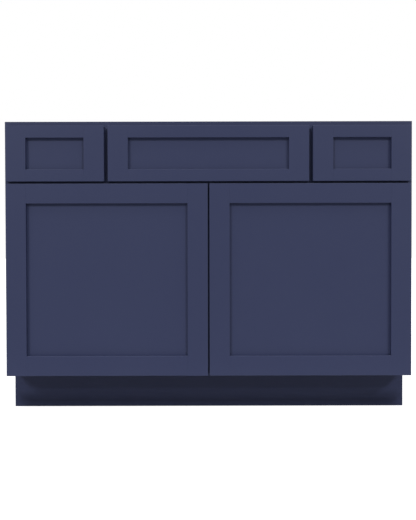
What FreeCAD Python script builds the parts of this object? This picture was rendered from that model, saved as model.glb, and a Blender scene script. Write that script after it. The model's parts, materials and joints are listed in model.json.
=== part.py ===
import FreeCAD, Part

import os
import re

import Sketcher

# A 48 inch bathroom vanity base: a plywood carcass with a face frame, two framed doors on
# concealed hinges, a drawer at each side and a fixed front where the sink bowl hangs.
#
# +Z is up, the doors face -Y and +X is to the right of somebody who stands in front of them.
# The origin is on the floor, under the middle of the cabinet.

DOCUMENT = FreeCAD.newDocument("bathroom_vanity")
SHEET = DOCUMENT.addObject("Spreadsheet::Sheet", "Sizes")

# ---------------------------------------------------------------- driving sizes, in millimetres

SIZES = [
    ("overall_width", 1219.2, "outside of one side panel to the outside of the other"),
    ("overall_height", 876.3, "floor to the edge that carries the counter"),
    ("carcass_depth", 533.4, "front of the face frame to the back of the back panel"),
    ("toe_height", 114.3, "floor to the face frame"),
    ("toe_setback", 76.2, "front of the face frame to the toe-kick cover"),
    ("side_thickness", 12.7, "plywood side panels"),
    ("floor_thickness", 12.7, "plywood cabinet floor"),
    ("back_thickness", 6.35, "plywood back panel"),
    ("housing_depth", 6.35, "grooves in the side panels for the floor and the back"),
    ("toe_board_thickness", 12.7, "plywood board that carries the toe-kick cover"),
    ("toe_cover_thickness", 6.35, "painted cover over the toe kick"),
    ("back_rail_thickness", 12.7, "rails on the inside of the back panel"),
    ("back_rail_height", 76.2, "rails on the inside of the back panel"),
    ("frame_thickness", 19.05, "face frame"),
    ("end_stile_width", 25.4, "face frame, at the two ends"),
    ("frame_rail_width", 38.1, "face frame, the three rails"),
    ("centre_stile_width", 38.1, "face frame, behind the gap between the doors"),
    ("drawer_stile_width", 38.1, "face frame, between a drawer and the fixed front"),
    ("front_thickness", 19.05, "doors, drawer fronts and the fixed front"),
    ("front_gap", 2.5, "air between a closed front and the face frame"),
    ("side_reveal", 7.94, "face frame seen beside the fronts"),
    ("top_reveal", 15.875, "face frame seen above the fronts"),
    ("bottom_reveal", 3.175, "face frame seen below the doors"),
    ("row_gap", 6.35, "gap between the drawers and the doors"),
    ("column_gap", 11.1, "gap between a drawer front and the fixed front"),
    ("door_gap", 4.8, "gap between the two doors"),
    ("drawer_front_width", 292.1, "one drawer front"),
    ("drawer_front_height", 165.1, "one drawer front"),
    ("front_stile_width", 60.0, "upright pieces of every framed front"),
    ("door_rail_width", 59.0, "level pieces of a door"),
    ("drawer_rail_width", 36.0, "level pieces of a drawer front"),
    ("panel_thickness", 6.0, "flat panel in a framed front"),
    ("groove_depth", 9.5, "groove that holds the flat panel"),
    ("groove_wall", 2.55, "wood behind the groove that holds the flat panel"),
    ("panel_play", 1.0, "air between a panel's edge and the bottom of its groove"),
    ("box_board", 15.875, "sides, front and back of a drawer box"),
    ("box_length", 457.2, "drawer box, front to back"),
    ("box_side_play", 5.0, "air at each side of a drawer box"),
    ("box_lift", 14.3, "drawer box above the frame rail under it"),
    ("box_headroom", 11.1, "air between a drawer box and the frame rail over it"),
    ("box_bottom_recess", 12.7, "lower edge of a drawer box to the drawer's bottom"),
    ("box_bottom_thickness", 6.35, "drawer bottom"),
    ("box_groove_depth", 6.35, "groove that holds the drawer bottom"),
    ("slide_length", 457.2, "fixed channel of a drawer slide"),
    ("slide_setback", 3.0, "front of the face frame to the fixed channel"),
    ("slide_width", 30.0, "fixed channel and drawer runner"),
    ("slide_inset", 4.0, "drawer box side to the slide"),
    ("slide_metal", 1.4, "sheet steel of the slide"),
    ("slide_play", 0.5, "air between the members of a slide"),
    ("channel_height", 11.5, "fixed channel of a slide"),
    ("runner_lift", 1.2, "air between the channel's edge and the runner's edge"),
    ("lock_length", 18.0, "locking clip at the front of a runner"),
    ("lock_play", 2.0, "air between a locking clip and the members behind it"),
    ("bracket_width", 36.0, "rear bracket of a slide"),
    ("bracket_overlap", 14.0, "length of channel that rests on its rear bracket"),
    ("bracket_wall", 3.0, "moulded wall of a rear bracket"),
    ("bracket_rise", 26.0, "rear bracket's plate above and below the channel"),
    ("hinge_inset", 90.0, "end of a door to the middle of its hinge cup"),
    ("cup_inset", 22.5, "edge of a door to the middle of its hinge cup"),
    ("cup_radius", 17.4, "hinge cup, outside"),
    ("cup_depth", 11.4, "hinge cup, below the door's back"),
    ("cup_wall", 1.0, "pressed steel of a hinge cup and its flange"),
    ("cup_play", 0.1, "air round a hinge cup in its bore"),
    ("cup_rim", 2.1, "flange beyond the cup's outside"),
    ("cup_screw_spacing", 45.0, "between the two screws of a hinge cup"),
    ("cup_screw_offset", 9.5, "middle of a hinge cup to its screws"),
    ("cup_pin_inset", 10.0, "edge of a door to the pin in its hinge cup"),
    ("cup_pin_depth", 2.25, "back of a door to the pin in its hinge cup"),
    ("arm_pin_reach", 21.54, "edge of the face frame stile to the pin in the hinge arm"),
    ("arm_pin_set", 5.5, "front of the face frame to the pin in the hinge arm"),
    ("arm_metal", 1.5, "pressed steel of a hinge arm"),
    ("arm_plate_height", 40.0, "hinge arm's plate on the stile"),
    ("arm_reach", 25.6, "hinge arm from the stile into the opening"),
    ("arm_back", 12.0, "front of the face frame to the back of the arm's channel"),
    ("arm_inner_width", 10.0, "between the ears of a hinge arm"),
    ("link_width", 8.0, "link between the two pins of a hinge"),
    ("link_metal", 2.2, "link between the two pins of a hinge"),
    ("knee_reach", 4.0, "cup pin to the link's knee, away from the door's edge"),
    ("knee_drop", 3.25, "cup pin to the link's knee, into the cup"),
    ("eye_radius", 2.2, "rolled eye round a hinge pin"),
    ("pin_radius", 1.0, "hinge pins"),
    ("pin_play", 0.05, "air between a hinge pin and its eye"),
    ("brace_leg", 70.0, "corner brace along each wall"),
    ("brace_height", 20.0, "corner brace"),
    ("brace_wall", 3.5, "moulded wall of a corner brace"),
    ("counter_hole_radius", 2.75, "holes in the corner braces for the counter's screws"),
    ("counter_hole_inset", 24.0, "corner of the carcass to the counter's screw, along both walls"),
    ("clip_leg", 22.0, "angle bracket of the fixed front"),
    ("clip_width", 18.0, "angle bracket of the fixed front"),
    ("clip_metal", 1.5, "angle bracket of the fixed front"),
    ("clip_inset", 14.0, "drawer stile to the near edge of an angle bracket"),
    ("bumper_radius", 4.5, "round bumpers"),
    ("bumper_inset", 14.0, "edge of a door to its bumper"),
    ("bumper_play", 0.3, "air between a bumper and the closed front"),
    ("screw_radius", 1.75, "wood screws"),
    ("screw_head_radius", 3.6, "wood screws"),
    ("screw_head_height", 2.2, "wood screws"),
    ("short_screw", 11.0, "screws that hold the fittings"),
    ("long_screw", 27.0, "screws that hold a drawer front to its box"),
    ("front_screw_inset", 8.0, "drawer box side to a drawer front's screw"),
]

for row, (alias, number, note) in enumerate(SIZES, start=1):
    SHEET.set(f"A{row}", alias)
    SHEET.set(f"B{row}", str(number))
    SHEET.set(f"C{row}", note)
    SHEET.setAlias(f"B{row}", alias)
DOCUMENT.recompute()

# ---------------------------------------------------------------- formulas

FUNCTIONS = ("atan", "sqrt")
FORMULAS = {}


def expand(text):
    """Swap each name in a formula for a cell of the sheet or for a formula named before."""
    def swap(word):
        if word.group() in FUNCTIONS:
            return word.group()
        return FORMULAS.get(word.group(), "Sizes." + word.group())
    return re.sub("[a-z_]+", swap, str(text))


def let(name, text):
    """Name a place or a length that follows from the driving sizes."""
    FORMULAS[name] = "(" + expand(text) + ")"


def value(text):
    return float(SHEET.evalExpression(expand(text)))


# Depths, from the fronts to the wall.
let("half_width", "overall_width / 2")
let("back_face", "(carcass_depth + front_gap + front_thickness) / 2")
let("back_inner", "back_face - back_thickness")
let("back_rail_front", "back_inner - back_rail_thickness")
let("frame_front", "back_face - carcass_depth")
let("frame_back", "frame_front + frame_thickness")
let("front_back", "frame_front - front_gap")
let("front_face", "front_back - front_thickness")
let("panel_recess", "front_thickness - groove_wall - panel_thickness")
let("toe_front", "frame_front + toe_setback")
let("toe_board_front", "toe_front + toe_cover_thickness")

# Heights.
let("floor_top", "toe_height + frame_rail_width")
let("floor_underside", "floor_top - floor_thickness")
let("door_low", "toe_height + bottom_reveal")
let("front_high", "overall_height - top_reveal")
let("drawer_front_low", "front_high - drawer_front_height")
let("door_high", "drawer_front_low - row_gap")
let("door_height", "door_high - door_low")
let("mid_rail_low", "door_high + row_gap / 2 - frame_rail_width / 2")
let("opening_low", "mid_rail_low + frame_rail_width")
let("opening_high", "overall_height - frame_rail_width")

# Widths, on the left half. The right half mirrors it.
let("side_inner", "half_width - side_thickness")
let("front_left", "-(half_width - side_reveal)")
let("door_width", "half_width - side_reveal - door_gap / 2")
let("fixed_front_width", "overall_width - 2 * (side_reveal + drawer_front_width + column_gap)")
let("frame_opening_left", "-(half_width - end_stile_width)")
let("drawer_stile_middle", "front_left + drawer_front_width + column_gap / 2")
let("drawer_stile_left_edge", "drawer_stile_middle - drawer_stile_width / 2")
let("drawer_stile_right_edge", "drawer_stile_middle + drawer_stile_width / 2")

# Drawer box and slides.
let("drawer_middle", "(frame_opening_left + drawer_stile_left_edge) / 2")
let("box_width", "drawer_stile_left_edge - frame_opening_left - 2 * box_side_play")
let("box_inner_width", "box_width - 2 * box_board")
let("box_left", "frame_opening_left + box_side_play")
let("box_low", "opening_low + box_lift")
let("box_height", "opening_high - box_headroom - box_low")
let("box_back", "front_back + box_length")
let("box_bottom_low", "box_low + box_bottom_recess")
let("channel_front", "frame_front + slide_setback")
let("channel_back", "channel_front + slide_length")
let("slide_left", "box_left + box_board + slide_inset")
let("runner_low", "opening_low + channel_height + runner_lift")
let("runner_front", "front_back + box_board + lock_length + lock_play")
let("mid_inset", "slide_metal + slide_play")

# Hinge pins. The cup's pin rides on the door, and the arm's pin stays on the face frame.
let("link_reach", "end_stile_width - side_reveal + arm_pin_reach - cup_pin_inset")
let("link_rise", "arm_pin_set + front_gap + cup_pin_depth")
let("hinge_low", "door_low + hinge_inset")
let("hinge_high", "door_high - hinge_inset")

# ---------------------------------------------------------------- building blocks

NODES = {}


def node(label, item):
    """Name a finished piece. The name is also the name of its file."""
    item.Label = label
    NODES[label] = item
    return item


def place(item, x, y, z):
    for axis, text in zip("xyz", (x, y, z)):
        item.setExpression("Placement.Base." + axis, expand(text))
    return item


def board(corner, size):
    """A plain board, from its lowest corner and its sizes along X, Y and Z."""
    item = DOCUMENT.addObject("Part::Box", "board")
    for side, text in zip(("Length", "Width", "Height"), size):
        item.setExpression(side, expand(text))
    return place(item, *corner)


def rod(radius, length, x, y, z):
    """A round bar along Z."""
    item = DOCUMENT.addObject("Part::Cylinder", "rod")
    item.setExpression("Radius", expand(radius))
    item.setExpression("Height", expand(length))
    return place(item, x, y, z)


def rectangle(x, y, across, up):
    return [(x, y), (f"{x} + {across}", y), (f"{x} + {across}", f"{y} + {up}"), (x, f"{y} + {up}")]


def hold(sketch, constraint, text):
    """Bind one size of a sketch to a formula."""
    number = sketch.addConstraint(constraint)
    sketch.renameConstraint(number, f"size_{number}")
    sketch.setExpression(f"Constraints.size_{number}", expand(text))


def hold_point(sketch, geometry, point, place_texts):
    for kind, text in zip(("DistanceX", "DistanceY"), place_texts):
        hold(sketch, Sketcher.Constraint(kind, -1, 1, geometry, point, value(text)), text)


def draw_outline(sketch, corners):
    """A closed outline of straight lines through the corners."""
    first = sketch.GeometryCount
    points = [FreeCAD.Vector(value(x), value(y), 0) for x, y in corners]
    for start, end in zip(points, points[1:] + points[:1]):
        sketch.addGeometry(Part.LineSegment(start, end), False)
    for number, corner in enumerate(corners):
        following = first + (number + 1) % len(corners)
        sketch.addConstraint(Sketcher.Constraint("Coincident", first + number, 2, following, 1))
        hold_point(sketch, first + number, 1, corner)


def draw_circle(sketch, x, y, radius):
    middle = FreeCAD.Vector(value(x), value(y), 0)
    circle = Part.Circle(middle, FreeCAD.Vector(0, 0, 1), value(radius))
    number = sketch.addGeometry(circle, False)
    hold_point(sketch, number, 3, (x, y))
    hold(sketch, Sketcher.Constraint("Radius", number, value(radius)), radius)


def sketch_on(body, plane, level, loops):
    """A sketch across one axis, at a level along it. A loop is a list of corners or a circle."""
    origin_plane = next(item for item in body.Origin.OriginFeatures if item.Role == plane + "_Plane")
    sketch = body.newObject("Sketcher::SketchObject", "sketch")
    sketch.AttachmentSupport = [(origin_plane, "")]
    sketch.MapMode = "FlatFace"
    towards_back = "-1 * " if plane == "XZ" else ""
    sketch.setExpression("AttachmentOffset.Base.z", expand(f"{towards_back}({level})"))
    for loop in loops:
        if isinstance(loop, list):
            draw_outline(sketch, loop)
        else:
            draw_circle(sketch, *loop)
    return sketch


def new_body():
    return DOCUMENT.addObject("PartDesign::Body", "body")


def pad(body, plane, level, length, *loops):
    """Raise an outline from its level towards the positive end of the axis across it."""
    feature = body.newObject("PartDesign::Pad", "pad")
    feature.Profile = sketch_on(body, plane, level, loops)
    feature.setExpression("Length", expand(length))
    feature.Reversed = plane == "XZ"
    body.Tip = feature
    DOCUMENT.recompute()
    return body


def pocket(body, plane, level, length, *loops):
    """Cut an outline from its level towards the positive end of the axis across it."""
    before = body.Shape.Volume
    feature = body.newObject("PartDesign::Pocket", "pocket")
    feature.Profile = sketch_on(body, plane, level, loops)
    feature.setExpression("Length", expand(length))
    feature.Reversed = plane != "XZ"
    body.Tip = feature
    DOCUMENT.recompute()
    if not body.Shape.Volume < before - 1:
        raise RuntimeError(f"a pocket of {body.Label} cuts nothing")
    return body


def turned_body(corners):
    """A body turned about the Z axis from an outline of radius and height."""
    body = new_body()
    sketch = sketch_on(body, "XZ", "0", [corners])
    feature = body.newObject("PartDesign::Revolution", "turning")
    feature.Profile = sketch
    feature.ReferenceAxis = (sketch, ["V_Axis"])
    feature.Angle = 360
    DOCUMENT.recompute()
    return body


def copy_of(source, x, y, z, axis=(0, 0, 1), angle=0):
    item = DOCUMENT.addObject("App::Link", source.Name + "_copy")
    item.LinkedObject = source
    item.Placement = FreeCAD.Placement(FreeCAD.Vector(), FreeCAD.Rotation(FreeCAD.Vector(axis), angle))
    return place(item, x, y, z)


def mirrored(source, axis="x", at="0"):
    item = DOCUMENT.addObject("Part::Mirroring", source.Name + "_mirror")
    item.Source = source
    item.Normal = FreeCAD.Vector(axis == "x", axis == "y", axis == "z")
    item.setExpression("Base." + axis, expand(at))
    return item


def group(pieces):
    item = DOCUMENT.addObject("Part::Compound", "group")
    item.Links = pieces
    return item


def on_both_sides(pieces):
    """The pieces of the left half together with their mirror images on the right."""
    left = group(pieces)
    return group([left, mirrored(left)])


def pair_of_nodes(before, after, left):
    """A left-hand node and its mirror image as the right-hand node."""
    node(f"{before}_left{after}", left)
    node(f"{before}_right{after}", mirrored(left))


# ---------------------------------------------------------------- carcass

def side_panel():
    """Plywood side with a notch for the toe kick and housings for the floor and the back."""
    notch = "toe_board_front - frame_back"
    depth = "back_face - frame_back"
    panel = pad(
        new_body(), "YZ", "0", "side_thickness",
        [("0", "toe_height"), (notch, "toe_height"), (notch, "0"), (depth, "0"),
         (depth, "overall_height"), ("0", "overall_height")],
    )
    inside = "side_thickness - housing_depth"
    pocket(panel, "YZ", inside, "housing_depth",
           rectangle("0", "floor_underside", "back_inner - frame_back", "floor_thickness"))
    pocket(panel, "YZ", inside, "housing_depth",
           rectangle("back_inner - frame_back", "0", "back_thickness", "overall_height"))
    return place(panel, "-half_width", "frame_back", "0")


def across_inside(y, z, thickness, height, reach="side_inner"):
    """A board that runs from one side panel to the other."""
    return board((f"-({reach})", y, z), (f"2 * ({reach})", thickness, height))


pair_of_nodes("side_panel", "", side_panel())
node("bottom_panel", across_inside("frame_back", "floor_underside", "back_inner - frame_back",
                                   "floor_thickness", "side_inner + housing_depth"))
node("back_panel", across_inside("back_inner", "0", "back_thickness", "overall_height",
                                 "side_inner + housing_depth"))
node("toe_kick_board", across_inside("toe_board_front", "0", "toe_board_thickness", "floor_underside"))
node("toe_kick_cover", across_inside("toe_front", "0", "toe_cover_thickness", "toe_height", "half_width"))
node("back_rails", group([
    across_inside("back_rail_front", low, "back_rail_thickness", "back_rail_height")
    for low in ("overall_height - back_rail_height", "opening_low - back_rail_height / 2")
]))

# ---------------------------------------------------------------- face frame

frame_height = "overall_height - toe_height"
pair_of_nodes("face_stile", "", board(("-half_width", "frame_front", "toe_height"),
                                      ("end_stile_width", "frame_thickness", frame_height)))
for name, low in (("top", "opening_high"), ("mid", "mid_rail_low"), ("bottom", "toe_height")):
    node(f"face_{name}_rail", across_inside("frame_front", low, "frame_thickness", "frame_rail_width",
                                            "half_width - end_stile_width"))
node("face_centre_stile", board(
    ("-centre_stile_width / 2", "frame_front", "floor_top"),
    ("centre_stile_width", "frame_thickness", "mid_rail_low - floor_top"),
))
node("drawer_stiles", on_both_sides([
    board(("drawer_stile_left_edge", "frame_front", "opening_low"),
          ("drawer_stile_width", "frame_thickness", "opening_high - opening_low")),
]))

# ---------------------------------------------------------------- framed fronts

let("groove_back", "panel_recess + panel_thickness")
let("panel_edge", "groove_depth - panel_play")


def grooved_outline(width):
    """Section of a frame piece: how far across the front, how far back. The groove is inside."""
    return [("0", "0"), (width, "0"), (width, "panel_recess"), (f"{width} - groove_depth", "panel_recess"),
            (f"{width} - groove_depth", "groove_back"), (width, "groove_back"),
            (width, "front_thickness"), ("0", "front_thickness")]


def stile(height):
    return pad(new_body(), "XY", "0", height, grooved_outline("front_stile_width"))


def rail(span, width):
    """Lower rail with a tongue at each end that fills the groove of the stile."""
    section = [(back, across) for across, back in grooved_outline(width)]
    body = pad(new_body(), "YZ", "0", span, section)
    return pad(body, "YZ", "-groove_depth", f"{span} + 2 * groove_depth",
               rectangle("panel_recess", "0", "panel_thickness", f"{width} - groove_depth"))


def framed_front(x, z, width, height, rail_width):
    """Left stile, right stile, lower rail, upper rail and panel of one front."""
    left = place(stile(height), x, "front_face", z)
    right = mirrored(left, "x", f"{x} + ({width}) / 2")
    span = f"{width} - 2 * front_stile_width"
    lower = place(rail(span, rail_width), f"{x} + front_stile_width", "front_face", z)
    upper = mirrored(lower, "z", f"{z} + ({height}) / 2")
    panel = board(
        (f"{x} + front_stile_width - panel_edge", "front_face + panel_recess", f"{z} + {rail_width} - panel_edge"),
        (f"{span} + 2 * panel_edge", "panel_thickness", f"{height} - 2 * {rail_width} + 2 * panel_edge"),
    )
    return left, right, lower, upper, panel


# ---------------------------------------------------------------- doors

hinge_stile, lock_stile, lower, upper, panel = framed_front(
    "front_left", "door_low", "door_width", "door_height", "door_rail_width")
bore = "cup_radius + cup_play"
for height in ("hinge_inset", "door_height - hinge_inset"):
    pocket(hinge_stile, "XZ", "front_thickness - cup_depth - cup_play", "cup_depth + cup_play",
           ("cup_inset", height, bore))
pair_of_nodes("door", "_hinge_stile", hinge_stile)
pair_of_nodes("door", "_lock_stile", lock_stile)
pair_of_nodes("door", "_rails", group([lower, upper]))
pair_of_nodes("door", "_panel", panel)

# ---------------------------------------------------------------- screws

def screw(length):
    """Wood screw that points down from under its head."""
    tip = "screw_radius * 2"
    return turned_body([
        ("0", f"-({length})"), ("screw_radius", f"{tip} - {length}"), ("screw_radius", "0"),
        ("screw_head_radius", "0"), ("screw_head_radius", "screw_head_height / 3"),
        ("screw_head_radius * 2 / 3", "screw_head_height"), ("0", "screw_head_height"),
    ])


FACING = {
    "up": ((0, 0, 1), 0), "down": ((1, 0, 0), 180),
    "right": ((0, 1, 0), 90), "left": ((0, 1, 0), -90),
    "front": ((1, 0, 0), 90), "back": ((1, 0, 0), -90),
}
SHORT_SCREW = screw("short_screw")
LONG_SCREW = screw("long_screw")


def screwed(kind, facing, x, y, z):
    """A copy of a screw with its head towards one side and seated at a point."""
    axis, angle = FACING[facing]
    return copy_of(kind, x, y, z, axis, angle)


# ---------------------------------------------------------------- hinges

def hinge_cup():
    """Cup, flange and pin. Its origin is the middle of the cup, level with the door's back."""
    inner = "cup_radius - cup_wall"
    body = pad(new_body(), "XZ", "-cup_depth", "cup_depth", ("0", "0", "cup_radius"))
    ring = "cup_radius + cup_rim"
    pad(body, "XZ", "0", "cup_wall", ("0", "0", ring))
    for low in ("cup_radius - cup_wall", "-(cup_radius + cup_rim + 10)"):
        pad(body, "XZ", "0", "cup_wall", rectangle("2.5", low, "14", "cup_rim + cup_wall + 10"))
    pocket(body, "XZ", "cup_wall - cup_depth", "cup_depth", ("0", "0", inner))
    for height in ("cup_screw_spacing / 2", "-cup_screw_spacing / 2"):
        pocket(body, "XZ", "0", "cup_wall", ("cup_screw_offset", height, "screw_radius"))
    across = f"cup_inset - cup_pin_inset"
    half = f"sqrt(({inner}) * ({inner}) - ({across}) * ({across})) + cup_wall / 2"
    return pad(body, "XY", f"-({half})", f"2 * ({half})", (f"-({across})", "-cup_pin_depth", "pin_radius"))


def hinge_link():
    """Bent link with an eye for each pin. Its origin is the cup's pin, half way up."""
    low = "-link_width / 2"
    legs = (
        ("0", "0", "knee_reach", "-knee_drop"),
        ("knee_reach", "-knee_drop", "link_reach - knee_reach", "link_rise + knee_drop"),
    )
    parts = [
        rod("eye_radius", "link_width", "0", "0", low),
        rod("link_metal / 2", "link_width", "knee_reach", "-knee_drop", low),
        rod("eye_radius", "link_width", "link_reach", "link_rise", low),
    ]
    for x, y, across, back in legs:
        length = f"sqrt(({across}) * ({across}) + ({back}) * ({back}))"
        strip = board(("0", "-link_metal / 2", low), (length, "link_metal", "link_width"))
        leg = group([strip])
        leg.setExpression("Placement.Rotation.Angle", expand(f"atan(({back}) / ({across}))"))
        parts.append(place(leg, x, y, "0"))
    solid = DOCUMENT.addObject("Part::MultiFuse", "link")
    solid.Shapes = parts
    bores = DOCUMENT.addObject("Part::MultiFuse", "link_bores")
    bores.Shapes = [
        rod("pin_radius + pin_play", "2 * link_width", "0", "0", "-link_width"),
        rod("pin_radius + pin_play", "2 * link_width", "link_reach", "link_rise", "-link_width"),
    ]
    link = DOCUMENT.addObject("Part::Cut", "bored_link")
    link.Base = solid
    link.Tool = bores
    return link


def hinge_arm():
    """Channel and pin on a plate. Its origin is the stile's inner edge at the frame's front."""
    half = "arm_inner_width / 2 + arm_metal"
    body = pad(new_body(), "YZ", "0", "arm_metal",
               rectangle("1", "-arm_plate_height / 2", "frame_thickness - 2", "arm_plate_height"))
    pad(body, "XY", f"-({half})", f"2 * ({half})", rectangle("0", "1", "arm_reach", "arm_back - 1"))
    pocket(body, "XY", "-arm_inner_width / 2", "arm_inner_width",
           rectangle("arm_metal", "1", "arm_reach - arm_metal", "arm_back - 1 - arm_metal"))
    pad(body, "XY", f"-({half})", f"2 * ({half})", ("arm_pin_reach", "arm_pin_set", "pin_radius"))
    for height in ("arm_plate_height * 3 / 8", "-arm_plate_height * 3 / 8"):
        pocket(body, "YZ", "0", "arm_metal", ("frame_thickness / 2", height, "screw_radius"))
    return body


HINGE_HEIGHTS = ("hinge_low", "hinge_high")
CUP, LINK, ARM = hinge_cup(), hinge_link(), hinge_arm()
pair_of_nodes("door", "_hinge_cups", group([
    copy_of(CUP, "front_left + cup_inset", "front_back", height) for height in HINGE_HEIGHTS
]))
pair_of_nodes("hinge_links", "", group([
    copy_of(LINK, "front_left + cup_pin_inset", "front_back - cup_pin_depth", height)
    for height in HINGE_HEIGHTS
]))
node("hinge_arms", on_both_sides([
    copy_of(ARM, "frame_opening_left", "frame_front", height) for height in HINGE_HEIGHTS
]))
pair_of_nodes("door", "_cup_screws", group([
    screwed(SHORT_SCREW, "back", "front_left + cup_inset + cup_screw_offset", "front_back + cup_wall",
            f"{height} + {side} * cup_screw_spacing / 2")
    for height in HINGE_HEIGHTS for side in (1, -1)
]))
hinge_screws = [
    screwed(SHORT_SCREW, "right", "frame_opening_left + arm_metal", "frame_front + frame_thickness / 2",
            f"{height} + {side} * arm_plate_height * 3 / 8")
    for height in HINGE_HEIGHTS for side in (1, -1)
]

# ---------------------------------------------------------------- fixed front over the sink

let("fixed_front_left", "-fixed_front_width / 2")
left, right, lower, upper, panel = framed_front(
    "fixed_front_left", "drawer_front_low", "fixed_front_width", "drawer_front_height", "drawer_rail_width")
node("false_front_stiles", group([left, right]))
node("false_front_rails", group([lower, upper]))
node("false_front_panel", panel)


def angle_bracket():
    """Bent steel angle. One leg lies on the fixed front, the other on the rail above it."""
    top = "-clip_metal"
    depth = "front_gap + frame_thickness - 2"
    body = pad(new_body(), "YZ", "0", "clip_width", [
        ("0", "0"), (depth, "0"), (depth, top), ("clip_metal", top),
        ("clip_metal", "-clip_leg"), ("0", "-clip_leg"),
    ])
    pocket(body, "XZ", "0", "clip_metal", ("clip_width / 2", "-clip_leg / 2 - clip_metal", "screw_radius"))
    return pocket(body, "XY", top, "clip_metal", ("clip_width / 2", "front_gap + frame_thickness / 2",
                                                  "screw_radius"))


let("clip_left", "drawer_stile_right_edge + clip_inset")
let("clip_middle", "clip_left + clip_width / 2")
upper_clip = place(angle_bracket(), "clip_left", "front_back", "opening_high")
lower_clip = mirrored(upper_clip, "z", "(opening_low + opening_high) / 2")
node("false_front_brackets", on_both_sides([upper_clip, lower_clip]))
clip_drop = "(clip_leg / 2 + clip_metal)"
clip_screws = [
    screwed(SHORT_SCREW, "back", "clip_middle", "front_back + clip_metal", f"opening_high - {clip_drop}"),
    screwed(SHORT_SCREW, "back", "clip_middle", "front_back + clip_metal", f"opening_low + {clip_drop}"),
    screwed(SHORT_SCREW, "down", "clip_middle", "frame_front + frame_thickness / 2",
            "opening_high - clip_metal"),
    screwed(SHORT_SCREW, "up", "clip_middle", "frame_front + frame_thickness / 2",
            "opening_low + clip_metal"),
]

# ---------------------------------------------------------------- corner braces

def corner_brace():
    """Moulded corner. Two walls stand on the carcass, and a web carries the counter's screw."""
    web = pad(new_body(), "XY", "-brace_wall", "brace_wall",
              [("0", "0"), ("brace_leg", "0"), ("brace_leg", "brace_wall * 3"),
               ("brace_wall * 3", "brace_leg"), ("0", "brace_leg")])
    pad(web, "XY", "-brace_height", "brace_height", rectangle("0", "0", "brace_leg", "brace_wall"))
    pad(web, "XY", "-brace_height", "brace_height", rectangle("0", "0", "brace_wall", "brace_leg"))
    pocket(web, "XY", "-brace_wall", "brace_wall",
           ("counter_hole_inset", "counter_hole_inset", "counter_hole_radius"))
    pocket(web, "XZ", "0", "brace_wall", ("brace_leg * 3 / 4", "-brace_height * 3 / 5", "screw_radius"))
    return pocket(web, "YZ", "0", "brace_wall",
                  ("brace_leg * 3 / 4", "-brace_height * 3 / 5", "screw_radius"))


BRACE = corner_brace()
BRACE_CORNERS = (
    ("-side_inner", "frame_back", 0), ("side_inner", "frame_back", 90),
    ("side_inner", "back_rail_front", 180), ("-side_inner", "back_rail_front", 270),
)
node("corner_braces", group([
    copy_of(BRACE, x, y, "overall_height", angle=turn) for x, y, turn in BRACE_CORNERS
]))
let("brace_screw_height", "overall_height - brace_height * 3 / 5")
let("brace_screw_reach", "brace_leg * 3 / 4")
brace_screws = [
    screwed(SHORT_SCREW, "right", "brace_wall - side_inner", f"frame_back + brace_screw_reach",
            "brace_screw_height"),
    screwed(SHORT_SCREW, "right", "brace_wall - side_inner", f"back_rail_front - brace_screw_reach",
            "brace_screw_height"),
    screwed(SHORT_SCREW, "back", "brace_screw_reach - side_inner", "frame_back + brace_wall",
            "brace_screw_height"),
    screwed(SHORT_SCREW, "front", "brace_screw_reach - side_inner", "back_rail_front - brace_wall",
            "brace_screw_height"),
]

# ---------------------------------------------------------------- drawer fronts and boxes

left, right, lower, upper, panel = framed_front(
    "front_left", "drawer_front_low", "drawer_front_width", "drawer_front_height", "drawer_rail_width")
pair_of_nodes("drawer", "_front_stiles", group([left, right]))
pair_of_nodes("drawer", "_front_rails", group([lower, upper]))
pair_of_nodes("drawer", "_front_panel", panel)

let("box_groove_high", "box_bottom_recess + box_bottom_thickness")


def box_section():
    """Section of a drawer box board: how far in from its outside, and how far up."""
    bottom = "box_board - box_groove_depth"
    return [("0", "0"), ("box_board", "0"), ("box_board", "box_bottom_recess"),
            (bottom, "box_bottom_recess"), (bottom, "box_groove_high"), ("box_board", "box_groove_high"),
            ("box_board", "box_height"), ("0", "box_height")]


box_side = place(pad(new_body(), "XZ", "0", "box_length", box_section()), "box_left", "front_back", "box_low")
box_front = place(pad(new_body(), "YZ", "0", "box_inner_width", box_section()),
                  "box_left + box_board", "front_back", "box_low")
box_back = pad(new_body(), "YZ", "0", "box_inner_width", box_section())
notch_width = "slide_width + 2 * slide_inset"
for low in ("0", f"box_inner_width - ({notch_width})"):
    pocket(box_back, "YZ", low, notch_width, rectangle("0", "0", "box_board", "box_bottom_recess"))
place(box_back, "box_left + box_board", "front_back", "box_low")

pair_of_nodes("drawer", "_box_sides", group([box_side, mirrored(box_side, "x", "drawer_middle")]))
pair_of_nodes("drawer", "_box_front", box_front)
pair_of_nodes("drawer", "_box_back", mirrored(box_back, "y", "(front_back + box_back) / 2"))
let("box_bottom_edge", "box_groove_depth - panel_play / 2")
pair_of_nodes("drawer", "_box_bottom", board(
    ("box_left + box_board - box_bottom_edge", "front_back + box_board - box_bottom_edge", "box_bottom_low"),
    ("box_inner_width + 2 * box_bottom_edge", "box_length - 2 * box_board + 2 * box_bottom_edge",
     "box_bottom_thickness"),
))
pair_of_nodes("drawer", "_front_screws", group([
    screwed(LONG_SCREW, "back", f"drawer_middle + {side} * (box_inner_width / 2 - front_screw_inset)",
            "front_back + box_board", f"box_low + box_height * {share}")
    for side in (1, -1) for share in (0.4, 0.8)
]))

# ---------------------------------------------------------------- drawer slides

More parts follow.
